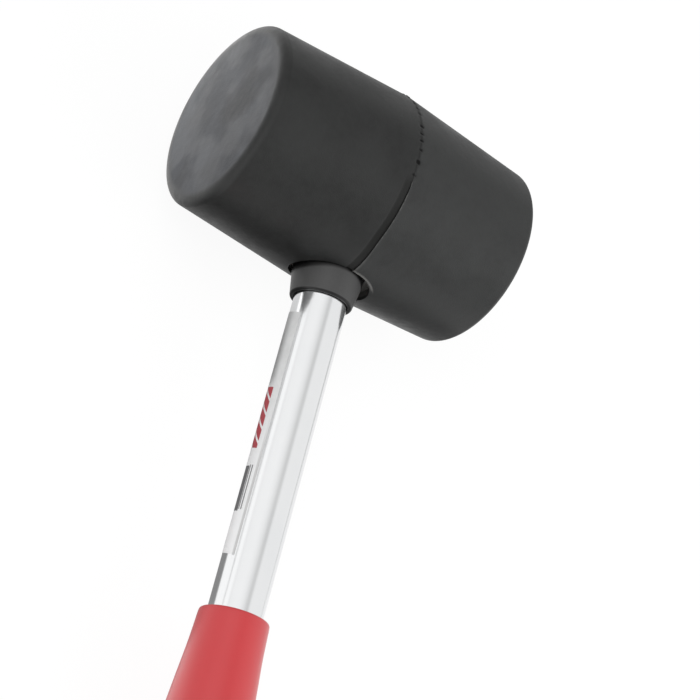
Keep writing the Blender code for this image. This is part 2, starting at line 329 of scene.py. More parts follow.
class Effects:
    """Shared groups of nodes, each made once."""

    FINE_SCALE = 5.3
    FINE_SHARE = 0.35
    LARGE_SHARE = 0.65
    SWELL_SCALE = 0.12

    def __init__(self) -> None:
        """Make both groups."""
        self.mottle = self._make("mottle", ("Scale", "Sharpness"), "Mask", self._mottle)
        self.grain = self._make("grain", ("Scale", "Coarse"), "Height", self._grain)

    @staticmethod
    def _make(
        name: str, values: Iterable[str], out: str, fill: Callable[[Tree, Any], Any]
    ) -> bpy.types.NodeTree:
        """Make a group with a vector and some values in, and one value out.

        Args:
            name: name of the group.
            values: names of its number inputs.
            out: name of its output.
            fill: adds the nodes and returns the output that leaves the group.

        Returns:
            The group.
        """
        made = bpy.data.node_groups.new(name, "ShaderNodeTree")
        made.interface.new_socket("Vector", in_out="INPUT", socket_type="NodeSocketVector")
        for value in values:
            made.interface.new_socket(value, in_out="INPUT", socket_type="NodeSocketFloat")
        made.interface.new_socket(out, in_out="OUTPUT", socket_type="NodeSocketFloat")
        tree = Tree(made)
        entry = made.nodes.new("NodeGroupInput")
        leave = made.nodes.new("NodeGroupOutput")
        made.links.new(fill(tree, entry.outputs), leave.inputs[0])
        return made

    @staticmethod
    def _mottle(tree: Tree, entry: Any) -> Socket:
        """Cloudy blotches of two sizes, as a whitish film and handling leave on a surface."""
        place, scale = entry["Vector"], entry["Scale"]
        large = tree.noise(place, scale, detail=4.0, rough=0.6)
        fine = tree.noise(place, tree.times(scale, Effects.FINE_SCALE), detail=5.0, rough=0.7)
        mixed = tree.math("ADD", tree.times(large, Effects.LARGE_SHARE), tree.times(fine, Effects.FINE_SHARE))
        spread = tree.times(tree.math("SUBTRACT", mixed, 0.5), entry["Sharpness"])
        return tree.math("ADD", spread, 0.5, clamp=True)

    @staticmethod
    def _grain(tree: Tree, entry: Any) -> Socket:
        """Fine moulded grain, with a coarser swell under it."""
        place, scale = entry["Vector"], entry["Scale"]
        fine = tree.noise(place, scale, detail=3.0, rough=0.55)
        swell = tree.noise(place, tree.times(scale, Effects.SWELL_SCALE), detail=2.0, rough=0.5)
        return tree.math("ADD", fine, tree.times(swell, entry["Coarse"]))


@dataclass(frozen=True)
class Mark:
    """A colour that covers part of a surface, and the ramps whose product is its mask."""

    colour: Colour
    spans: Spans


@dataclass(frozen=True)
class Finish:
    """A surface, from which a material is made."""

    name: str
    colour: Colour
    second: Colour
    roughness: float
    roughness_change: float = 0.08
    metallic: float = 0.0
    specular: float = 0.5
    coat: float = 0.0
    coat_roughness: float = 0.5
    blotch_scale: float = 90.0
    blotch_sharpness: float = 2.0
    grain_scale: float = 2500.0
    grain_coarse: float = 1.0
    grain_depth: float = 0.00006


class Coat:
    """A material in the making, with the outputs that special finishes build on."""

    def __init__(self, finish: Finish, effects: Effects, lie: Lie) -> None:
        """Lay the base colour, the roughness and the grain.

        Args:
            finish: surface to make.
            effects: shared groups.
            lie: how the mallet lies, which turns coordinates upright.
        """
        self.material = bpy.data.materials.new(finish.name)
        self.material.use_nodes = True
        self.tree = Tree(self.material.node_tree)
        self.shader = self.material.node_tree.nodes["Principled BSDF"]
        place = self.tree.add("TexCoord").outputs["Object"]
        upright = self.tree.add(
            "Mapping",
            {"Vector": place, "Location": tuple(lie.centre), "Rotation": (lie.turn, 0.0, 0.0)},
            vector_type="TEXTURE",
        )
        self.upright = upright.outputs[0]
        blotches = self.tree.group(
            effects.mottle, vector=self.upright, scale=finish.blotch_scale, sharpness=finish.blotch_sharpness
        )
        self.mask = blotches.outputs[0]
        self.colour = self.tree.blend(self.mask, finish.colour, finish.second)
        low = finish.roughness - finish.roughness_change
        high = finish.roughness + finish.roughness_change
        self.roughness = self.tree.ramp(self.mask, 0.0, 1.0, low, high)
        grain = self.tree.group(
            effects.grain, vector=self.upright, scale=finish.grain_scale, coarse=finish.grain_coarse
        )
        self.height = grain.outputs[0]
        self.depth = finish.grain_depth
        self.gloss: Any = finish.coat
        self.shader.inputs["Metallic"].default_value = finish.metallic
        self.shader.inputs["Specular IOR Level"].default_value = finish.specular
        self.shader.inputs["Coat Roughness"].default_value = finish.coat_roughness

    def tint(self, mask: Any, colour: Any) -> None:
        """Cover the base colour with another where a mask is 1."""
        self.colour = self.tree.blend(mask, self.colour, colour)

    def lay(self, places: Places, mark: Mark) -> Socket:
        """Lay a mark over the base colour, by coordinates with names, and return its mask."""
        mask = self.tree.product(places, mark.spans)
        self.tint(mask, mark.colour)
        return mask

    def done(self) -> Paint:
        """Join the outputs to the shader.

        Returns:
            The finished material.
        """
        bump = self.tree.add("Bump", {"Height": self.height, "Distance": self.depth, "Strength": 1.0})
        self.tree.feed(self.shader.inputs["Base Color"], self.colour)
        self.tree.feed(self.shader.inputs["Roughness"], self.roughness)
        self.tree.feed(self.shader.inputs["Coat Weight"], self.gloss)
        self.tree.feed(self.shader.inputs["Normal"], bump.outputs[0])
        return self.material


@dataclass
class Maker:
    """Maker of a piece, which knows how the mallet lies and the shared groups of nodes."""

    lie: Lie
    effects: Effects

    def coat(self, finish: Finish) -> Coat:
        """Start a material, with its blotches and its grain in place."""
        return Coat(finish, self.effects, self.lie)

    def dress(self, piece: Piece, paint: Paint, slot: str, node: str, sharp: float = 35.0) -> None:
        """Smooth a piece, lay it down, and give it its finish and its place in the frame.

        Args:
            piece: piece modelled upright.
            paint: material of the piece.
            slot: material slot of the record; not used.
            node: node of the frame that the piece stands for.
            sharp: least angle of an edge that stays sharp, in degrees.
        """
        Bench.pick(piece)
        bpy.ops.object.shade_smooth_by_angle(angle=math.radians(sharp))
        piece.matrix_world = self.lie.matrix @ piece.matrix_world
        bpy.ops.object.transform_apply(location=True, rotation=True, scale=True)
        piece.data.materials.clear()
        piece.data.materials.append(paint)
        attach(piece, BODY)
        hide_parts(node)
        LOG.info("%s: %d faces, for %s", piece.name, len(piece.data.polygons), node)


@dataclass(frozen=True)
class Ridge:
    """A smooth ridge or hollow, made uneven by a noise value."""

    height: float
    width: float
    base: float
    share: float

    def at(self, x: float, ragged: float) -> float:
        """Height beside its middle, where the noise has a value."""
        return self.height * (self.base + self.share * ragged) * math.exp(-((x / self.width) ** 2))


@dataclass(frozen=True)
class PartingLine:
    """Line where the halves of the mould met, trimmed near the handle and left rough elsewhere.

    Angles are in degrees from the handle. A pair is where an effect starts and ends.
    """

    reach: float = 4.0 * MM
    bend: float = 1.2 * MM
    bend_angles: Pair = (22.0, 48.0)
    bend_widths: Pair = (1.5 * MM, 4.4 * MM)
    wander_scale: float = 5.0
    wander_slice: float = 0.3
    ragged_scale: float = 34.0
    ragged_along: float = 300.0
    trim_angles: Pair = (72.0, 86.0)
    trim_wander: float = 5.0
    band_width: float = 3.1 * MM
    band_ragged: float = 0.10
    band_wander: float = 0.12
    band_depth: float = 0.22 * MM
    band_fall: Pair = (0.70, 1.0)
    wall_width: float = 0.1 * MM
    lip_left: float = 0.05 * MM
    lip: Ridge = Ridge(height=0.3 * MM, width=0.45 * MM, base=0.8, share=0.35)
    low_flash: Ridge = Ridge(height=0.10 * MM, width=0.38 * MM, base=0.7, share=0.6)
    high_flash: Ridge = Ridge(height=0.2 * MM, width=0.38 * MM, base=0.75, share=0.4)
    high_angles: Pair = (128.0, 140.0)
    pit: Ridge = Ridge(height=0.55 * MM, width=0.9 * MM, base=0.8, share=0.6)
    pit_pitch: float = 6.5
    pit_wander: float = 0.7
    pit_share: Pair = (0.06, 0.24)
    rubbed_angles: Pair = (3.0, 12.0)

    @staticmethod
    def noise_round(turn: float, scale: float, depth: float) -> float:
        """Noise that closes on itself once round the head."""
        return noise.noise(Vector((math.cos(turn) * scale, math.sin(turn) * scale, depth)))

    def change(self, x: float, turn: float, ground: float) -> float:
        """How far the parting line raises or lowers the surface.

        Args:
            x: place along the head's axis.
            turn: angle from the handle in radians, towards the front.
            ground: angle in degrees at which the head lies on the ground, where flash is flat.

        Returns:
            Change of radius in metres.
        """
        away = abs(math.degrees(turn))
        wander = self.noise_round(turn, self.wander_scale, self.wander_slice)
        ragged = self.noise_round(turn, self.ragged_scale, x * self.ragged_along)
        first, last = (angle + self.trim_wander * wander for angle in self.trim_angles)
        trimmed = 1.0 - smoothstep(first, last, away)
        change = 0.0
        if x <= 0.0:
            width = self.band_width * (1.0 + self.band_ragged * ragged + self.band_wander * wander)
            fall = 1.0 - smoothstep(*self.band_fall, -x / width)
            wall = smoothstep(0.0, self.wall_width, -x)
            change -= trimmed * self.band_depth * fall * wall
        if x >= -self.lip_left:
            change += trimmed * self.lip.at(x, ragged)
        high = smoothstep(*self.high_angles, away) * self.high_flash.at(x, ragged)
        place = away / self.pit_pitch + self.pit_wander * wander
        hollow = 1.0 - smoothstep(*self.pit_share, abs(place - round(place)))
        change += (1.0 - trimmed) * (self.low_flash.at(x, ragged) + high - hollow * self.pit.at(x, ragged))
        rubbed = smoothstep(*self.rubbed_angles, abs(math.degrees(turn) - ground))
        return min(change, 0.0) + rubbed * max(change, 0.0)

    def shift(self, x: float, turn: float) -> float:
        """How far the line is bent to the right near the mouth."""
        bent = 1.0 - smoothstep(*self.bend_angles, abs(math.degrees(turn)))
        return self.bend * bent * (1.0 - smoothstep(*self.bend_widths, abs(x)))


@dataclass(frozen=True)
class RubberMarks:
    """Marks on the rubber, placed in millimetres and degrees by the names in RubberHead.places."""

    ON_FACE = (("end", 1.5, 0.5), ("inside", 2.4, 6.0))
    TRIMMED = ("around", 86.0, 74.0)
    LEFT_ROUGH = ("around", 74.0, 86.0)
    # Painted light: the right half is painted lighter than the left, in mottled tones, as if lit from the
    # right.
    lit_half_dark: Colour = (0.0096, 0.0102, 0.0100)
    lit_half_light: Colour = (0.0240, 0.0253, 0.0248)
    lit_half: Spans = (("seam", -0.1, 0.3),)
    face: Mark = Mark((0.0125, 0.0142, 0.0186), ON_FACE)
    scuffs: Mark = Mark((0.0305, 0.0342, 0.0425), (*ON_FACE, ("scuffs", 0.34, 0.66)))
    smear: Mark = Mark(
        (0.0060, 0.0068, 0.0086), (*ON_FACE, ("left", 0.0, 1.0), ("smear", 15.0, 3.0, 0.0, 0.85))
    )
    smudges: Spans = (*ON_FACE, ("smudges", 0.44, 0.64))
    # Painted shade: the trimmed band is painted dark and its coat thinned, as the shade falling in the groove
    # beside the lip.
    band: Mark = Mark((0.0045, 0.0048, 0.0043), (("band", -1.0, -0.8), ("seam", 0.1, -0.1), TRIMMED))
    band_gloss: float = 0.1
    # Lighter along the lip where the flash is torn, with a painted highlight on the edge that catches the
    # light.
    lip: Mark = Mark(
        (0.07, 0.07, 0.067), (("seam", -0.05, 0.1), ("seam", 0.55, 0.25), TRIMMED, ("torn", 0.48, 0.68))
    )
    # Painted highlight: the lip is painted lighter near the mouth.
    rolled: Mark = Mark(
        (0.045, 0.046, 0.044), (("seam", -0.1, 0.4), ("seam", 1.5, 0.6), ("around", 36.0, 22.0))
    )
    # Painted shade: a thin line along the untrimmed parting line and its pits are painted near black, matt
    # and without coat, as the shade in these hollows.
    line: Spans = (("off", 0.9, 0.4, 0.0, 0.25), LEFT_ROUGH)
    pits: Spans = (("sunk", 0.06, 0.30), ("off", 1.9, 1.4), LEFT_ROUGH)
    pit_shade_colour: Colour = (0.002, 0.002, 0.002)
    pit_roughness: float = 0.9
    # Painted light: the right front wall of the well, below its floor, is painted light, as light on the
    # shaded wall.
    rim: Mark = Mark(
        (0.11, 0.11, 0.106), (("rim", 0.05, 0.02), ("below", 0.0, 1.0), ("x", 0.8, 1.6), ("y", -6.4, -10.0))
    )
    # Painted light: what is sunk into the mouth is painted lighter, as light reaching inside the well.
    well_fill_light: Mark = Mark((0.09, 0.09, 0.085), (("sunk", 0.9, 1.6), ("mouth", 0.0, 1.0)))
    well_fill_reach: float = 1.1
    smear_place: Pair = (-10.0, 4.0)
    wobble_noise: Pair = (0.3, 0.7)
    wobble: Pair = (-4.0, 4.0)
    wobble_scale: float = 90.0
    scuff_scale: float = 52.0
    smudge_scale: float = 40.0
    torn_scale: float = 420.0


@dataclass
class RubberHead(Maker):
    """Rubber head: two tapered halves, trimmed along the parting line near the handle."""

    length: float = 115.6 * MM
    face_radius: float = 34.7 * MM
    face_rings: int = 6
    edge_half: Pair = (4.6 * MM, 2.9 * MM)
    edge_steps: int = 14
    side: tuple[float, ...] = (48.0, 44.0, 40.0, 36.0, 32.0, 28.0, 24.0, 20.0, 16.0, 12.0, 9.0, 6.5, 4.5)
    seam_right: tuple[float, ...] = (3.4, 2.6, 1.8, 1.2, 0.8, 0.5, 0.3, 0.14, 0.0)
    seam_left: tuple[float, ...] = (-0.1, -0.3, -0.7, -1.2, -1.7, -2.1, -2.4, -2.7, -3.0, -3.4)
    steps: int = 360
    sharp: float = 40.0
    bore_radius: float = 13.0 * MM
    bore_top: float = 26.8 * MM
    cut_bottom: float = -60.0 * MM
    mouth_half: Pair = (15.4 * MM, 13.2 * MM)
    mouth_shift: float = 0.8 * MM
    mouth_floor: float = -33.5 * MM
    bead_half: Pair = (16.1 * MM, 13.2 * MM)
    bead_shift: float = 1.5 * MM
    bead_radius: float = 0.42 * MM
    bead_angles: Pair = (-0.5, 60.0)
    bead_points: int = 72
    bead_ends: Pair = (6.0, 32.4)
    bead_least: float = 0.2
    bead_uneven: Pair = (0.7, 0.25)
    bead_noise: float = 0.35
    parting: PartingLine = PartingLine()
    marks: RubberMarks = RubberMarks()
    rubber: Finish = Finish(
        name="black_rubber",
        colour=(0.0036, 0.0039, 0.0037),
        second=(0.0142, 0.0151, 0.0146),
        roughness=0.46,
        roughness_change=0.10,
        specular=0.30,
        coat=0.30,
        coat_roughness=0.46,
        blotch_scale=60.0,
        blotch_sharpness=3.0,
        grain_scale=2600.0,
        grain_coarse=1.4,
        grain_depth=0.00007,
    )

    @property
    def slope(self) -> float:
        """Loss of radius per length from the girth to a face."""
        return (self.lie.girth_radius - self.face_radius) / (self.length / 2)

    def half_outline(self) -> list[Pair]:
        """Outline of the right half from its face to near the parting line.

        Returns:
            Places along the axis and radii.
        """
        half = self.length / 2
        wide, deep = self.edge_half
        taper = math.atan(self.slope * deep / wide)
        height = half - deep
        foot = self.lie.girth_radius - (height + deep * math.sin(taper)) * self.slope
        radius = foot - wide * math.cos(taper)
        points = [(half, radius * i / self.face_rings) for i in range(self.face_rings)]
        edge = arc((0.0, 0.0), 1.0, math.pi / 2, taper, self.edge_steps)
        points += [(height + deep * h, radius + wide * r) for r, h in edge]
        points += [(x * MM, self.lie.girth_radius - x * MM * self.slope) for x in self.side]
        return points

    def outline(self) -> list[Point]:
        """Outline of the whole head, from the right face to the left."""
        right = self.half_outline()
        seam = (*self.seam_right, *self.seam_left)
        middle = [(x * MM, self.lie.girth_radius - abs(x) * MM * self.slope) for x in seam]
        left = [(-x, r) for x, r in reversed(right)]
        return [(x, 0.0, r) for x, r in (*right, *middle, *left)]

    def trim_parting_line(self, head: Piece) -> None:
        """Move the points near the girth to where moulding and trimming left them."""
        ground = math.degrees(self.lie.tip) - 90.0
        for vertex in head.data.vertices:
            x, y, z = vertex.co
            if abs(x) > self.parting.reach:
                continue
            turn = math.atan2(-y, -z)
            grown = 1.0 + self.parting.change(x, turn, ground) / math.hypot(y, z)
            vertex.co.y *= grown
            vertex.co.z *= grown
            vertex.co.x += self.parting.shift(x, turn)

    def cutter(self, name: str, radius: float, top: float) -> Piece:
        """Round plug that comes up into the head from below."""
        bottom = self.cut_bottom
        outline = [(0.0, 0.0, top), (radius, 0.0, top), (radius, 0.0, bottom), (0.0, 0.0, bottom)]
        return Bench.turn(name, outline, Axis.HANDLE, ROUND_STEPS)

    def cut_bore(self, head: Piece) -> None:
        """Cut the blind bore for the bush, and the oval well at its mouth."""
        Bench.cut(head, self.cutter("bore", self.bore_radius, self.bore_top))
        long, wide = self.mouth_half
        well = self.cutter("well", wide, self.mouth_floor)
        well.scale.x = long / wide
        well.location.x = self.mouth_shift
        Bench.cut(head, well)

    def mouth_bead(self) -> Piece:
        """Lip of flash that curls round the mouth on the right half.

        Returns:
            A slim tube that runs beside the edge of the well.
        """
        Bench.deselect()
        bpy.ops.curve.primitive_bezier_circle_add(radius=Bench.SEED_SIZE)
        bead = bpy.context.active_object
        bead.data.splines.clear()
        spline = bead.data.splines.new("POLY")
        long, wide = self.bead_half
        first, last = self.bead_angles
        rise, fall = self.bead_ends
        base, uneven = self.bead_uneven
        count = self.bead_points
        spline.points.add(count)
        for i, point in enumerate(spline.points):
            turn = math.radians(first + (last - first) * i / count)
            x = self.bead_shift + long * math.sin(turn)
            y = -wide * math.cos(turn)
            radius = self.lie.girth_radius - abs(x) * self.slope
            point.co = (x, y, -math.sqrt(radius**2 - y**2), 1.0)
            ends = min(smoothstep(0.0, rise, i), smoothstep(0.0, fall, count - i))
            lump = noise.noise(Vector((i * self.bead_noise, 0.0, 0.0)))
            point.radius = self.bead_least + ends * (base + uneven * lump)
        bead.data.dimensions = "3D"
        bead.data.bevel_depth = self.bead_radius
        bead.data.bevel_resolution = 3
        bead.data.use_fill_caps = True
        Bench.pick(bead)
        bpy.ops.object.convert(target="MESH")
        return bead

    def places(self, coat: Coat) -> Places:
        """Coordinates that the marks are placed by.

        Args:
            coat: material in the making.

        Returns:
            By name: upright x and y, distances from the girth (off), below a face (end), within its
            radius (inside), right of the parting line (seam, or band in widths of the trimmed band),
            below the tapered side (sunk), from the smear and from the bead (rim), the angle from
            the handle (around), masks of the left half, of what is below the well's floor and of
            the mouth, and noise.
        """
        tree, marks = coat.tree, self.marks
        scaled = tree.add("VectorMath", {0: coat.upright, 3: 1.0 / MM}, operation="SCALE").outputs[0]
        x, y, z = tree.apart(scaled)
        off, away = tree.math("ABSOLUTE", x), tree.length(y, z)
        turn = tree.math("ABSOLUTE", tree.math("ARCTAN2", y, tree.times(z, -1.0)))
        around = tree.math("DEGREES", turn)
        bent, straight = self.parting.bend_angles
        seam = tree.math("SUBTRACT", x, tree.ramp(around, straight, bent, 0.0, self.parting.bend / MM))
        surface = tree.math("SUBTRACT", self.lie.girth_radius / MM, tree.times(off, self.slope))
        front, high = marks.smear_place
        smear = tree.length(tree.math("SUBTRACT", y, front), tree.math("SUBTRACT", z, high))
        wobble = tree.ramp(tree.noise(coat.upright, marks.wobble_scale), *marks.wobble_noise, *marks.wobble)
        long, wide = (half / MM for half in self.bead_half)
        along = tree.math("DIVIDE", tree.math("SUBTRACT", x, self.bead_shift / MM), long)
        bead = tree.length(along, tree.math("DIVIDE", y, wide))
        return {
            "x": x,
            "y": y,
            "off": off,
            "end": tree.math("SUBTRACT", self.length / 2 / MM, off),
            "inside": tree.math("SUBTRACT", self.face_radius / MM, away),
            "around": around,
            "seam": seam,
            "band": tree.math("DIVIDE", seam, self.parting.band_width / MM),
            "sunk": tree.math("SUBTRACT", surface, away),
            "smear": tree.math("ADD", smear, wobble),
            "rim": tree.math("ABSOLUTE", tree.math("SUBTRACT", bead, 1.0)),
            "left": tree.math("LESS_THAN", x, 0.0),
            "below": tree.math("LESS_THAN", z, self.mouth_floor / MM),
            "mouth": tree.math("LESS_THAN", bead, marks.well_fill_reach),
            "scuffs": tree.noise(coat.upright, marks.scuff_scale),
            "smudges": tree.noise(coat.upright, marks.smudge_scale),
            "torn": tree.noise(coat.upright, marks.torn_scale),
        }

    def paint(self) -> Paint:
        """Matt rubber: a right half painted lighter as light from the right, scuffed faces, painted shade on
        the trimmed band, a torn lip with a painted highlight, pits and seam painted dark as shade, and
        painted light inside the mouth.
        """
        coat = self.coat(self.rubber)
        tree, marks = coat.tree, self.marks
        places = self.places(coat)
        # Painted light: the right half lighter than the left.
        lit_half_colour = tree.blend(coat.mask, marks.lit_half_dark, marks.lit_half_light)
        coat.tint(tree.product(places, marks.lit_half), lit_half_colour)
        face = coat.lay(places, marks.face)
        coat.lay(places, marks.scuffs)
        smear = coat.lay(places, marks.smear)
        coat.roughness = tree.mix(face, coat.roughness, self.rubber.roughness)
        dulled = tree.math("MAXIMUM", tree.product(places, marks.smudges), tree.times(face, smear))
        coat.gloss = tree.ramp(dulled, 0.0, 1.0, self.rubber.coat, 0.0)
        # Painted shade on the trimmed band.
        band = coat.lay(places, marks.band)
        coat.gloss = tree.times(coat.gloss, tree.ramp(band, 0.0, 1.0, 1.0, marks.band_gloss))
        # Painted highlight along the lip, and brighter near the mouth.
        coat.lay(places, marks.lip)
        coat.lay(places, marks.rolled)
        # Painted shade in the pits and along the rough parting line.
        pits = tree.math("MAXIMUM", tree.product(places, marks.line), tree.product(places, marks.pits))
        coat.tint(pits, marks.pit_shade_colour)
        coat.gloss = tree.times(coat.gloss, tree.math("SUBTRACT", 1.0, pits))
        coat.roughness = tree.mix(pits, coat.roughness, marks.pit_roughness)
        # Painted light on the well's shaded wall.
        coat.lay(places, marks.rim)
        # Painted light inside the mouth.
        coat.lay(places, marks.well_fill_light)
        return coat.done()

    def build(self) -> None:
        """Model the head, bore it, and dress it."""
        head = Bench.turn("head_rubber", self.outline(), Axis.HEAD, self.steps)
        self.trim_parting_line(head)
        self.cut_bore(head)
        bead = self.mouth_bead()
        Bench.pick(head)
        bead.select_set(True)
        bpy.ops.object.join()
        self.dress(head, self.paint(), "black_rubber", "rubber_head", self.sharp)


@dataclass
class HandleBush(Maker):
    """Grey bush between the tube and the rubber, conical where it shows."""

    radius: float = 12.7 * MM
    end_radius: float = 11.3 * MM
    bore: float = 9.7 * MM
    top: float = 20.5 * MM
    bottom: float = -46.0 * MM
    cone: float = 9.5 * MM
    skirt: float = 1.5 * MM
    edge: float = 1.0 * MM
    edge_steps: int = 6
    bore_edge: float = 0.4 * MM
    bore_steps: int = 4
    rib_count: int = 4
    rib_pitch: float = 10.0 * MM
    rib_length: float = 3.0 * MM
    rib_height: float = 0.25 * MM
    painted_shade: Colour = (0.004, 0.004, 0.004)
    joint: Pair = (1.0 * MM, -0.2 * MM)
    under: Pair = (0.9 * MM, 0.5 * MM)
    plastic: Finish = Finish(
        name="grey_plastic",
        colour=(0.052, 0.052, 0.052),
        second=(0.066, 0.066, 0.066),
        roughness=0.38,
        roughness_change=0.05,
        specular=0.40,
        blotch_scale=160.0,
        grain_scale=3600.0,
        grain_coarse=0.6,
        grain_depth=0.00003,
    )

    def outline(self) -> list[Point]:
        """Outline of the bush, down its outer side and back up its bore."""
        points = [(self.radius, self.top)]
        ridge = self.radius + self.rib_height
        for i in range(self.rib_count):
            foot = self.top - self.rib_pitch * (i + 0.5)
            points += [(self.radius, foot), (ridge, foot), (self.radius, foot - self.rib_length)]
        shoulder = self.bottom + self.cone
        points += [(self.radius, shoulder + self.skirt), (self.radius, shoulder)]
        end = (self.end_radius - self.edge, self.bottom + self.edge)
        points += arc(end, self.edge, 0.0, -math.pi / 2, self.edge_steps)
        inner = (self.bore + self.bore_edge, self.bottom + self.bore_edge)
        points += arc(inner, self.bore_edge, -math.pi / 2, -math.pi, self.bore_steps)
        points += [(self.bore, self.top), (self.radius, self.top)]
        return [(r, 0.0, z) for r, z in points]

    def paint(self) -> Paint:
        """Satin plastic, with painted shade where it meets the rubber and under its rim."""
        coat = self.coat(self.plastic)
        tree = coat.tree
        _, y, z = tree.apart(coat.upright)
        joint = tree.ramp(tree.length(y, z), *(self.lie.girth_radius + rise for rise in self.joint))
        under = tree.ramp(z, *(self.bottom + rise for rise in self.under))
        # Painted shade: darker where the head overhangs the bush, and under its rim.
        coat.tint(tree.math("MAXIMUM", joint, under), self.painted_shade)
        return coat.done()

    def build(self) -> None:
        """Model the bush and dress it."""
        bush = Bench.turn("bush_collar", self.outline(), Axis.HANDLE, ROUND_STEPS)
        self.dress(bush, self.paint(), "grey_plastic", "handle_bush")


@dataclass
class HandleTube(Maker):
    """Chromed steel tube, flared inside the head, with the core, its wedge and the end plug in it."""

    radius: float = TUBE_RADIUS
    wall: float = 1.2 * MM
    top: float = 26.5 * MM
    bottom: float = -279.4 * MM
    flare_height: float = 5.4 * MM
    flare_width: float = 1.3 * MM
    rows: int = 12
    steps: int = 160
    chrome: Finish = Finish(
        name="chrome",
        colour=(0.86, 0.87, 0.88),
        second=(0.90, 0.905, 0.91),
        roughness=0.15,
        roughness_change=0.03,
        metallic=1.0,
        blotch_scale=70.0,
        grain_scale=900.0,
        grain_depth=0.000004,
    )
    hardwood: Finish = Finish(
        name="hardwood",
        colour=(0.50, 0.31, 0.16),
        second=(0.60, 0.40, 0.22),
        roughness=0.6,
        blotch_scale=220.0,
        grain_scale=700.0,
    )
    steel: Finish = Finish(
        name="wedge_steel",
        colour=(0.40, 0.40, 0.41),
        second=(0.50, 0.50, 0.51),
        roughness=0.38,
        metallic=1.0,
        grain_scale=1500.0,
        grain_depth=0.00002,
    )
    dark: Finish = Finish(
        name="dark_plastic", colour=(0.026, 0.026, 0.026), second=(0.036, 0.036, 0.036), roughness=0.5
    )

    def outline(self) -> list[Point]:
        """Outline of the tube's wall."""
        bore = self.radius - self.wall
        foot = self.top - self.flare_height
        points = [(self.radius + self.flare_width, self.top), (self.radius, foot)]
        points += [(self.radius, self.bottom * i / self.rows) for i in range(1, self.rows + 1)]
        points += [(bore, self.bottom), (bore, foot), (bore + self.flare_width, self.top), points[0]]
        return [(r, 0.0, z) for r, z in points]

    def build(self) -> None:
        """Model the tube, dress it, and finish the pieces inside it."""
        tube = Bench.turn("tube_chromed", self.outline(), Axis.HANDLE, self.steps)
        self.dress(tube, self.coat(self.chrome).done(), "chrome", "handle_tube")
        inner = (("tube_core", self.hardwood), ("core_wedge", self.steel), ("tube_end_plug", self.dark))
        for node, finish in inner:
            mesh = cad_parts[node].data
            mesh.materials.clear()
            mesh.materials.append(self.coat(finish).done())
            LOG.info("%s: keeps its solid, in %s", node, finish.name)


def printed(left: float, right: float, top: float, bottom: float) -> Spans:
    """Spans of a panel printed on the film, from 0 to 1 across it and down it, with soft edges."""
    soft_u, soft_v = 0.012, 0.003
    across = (("u", left - soft_u, left), ("u", right + soft_u, right))
    return (*across, ("v", top - soft_v, top), ("v", bottom + soft_v, bottom))


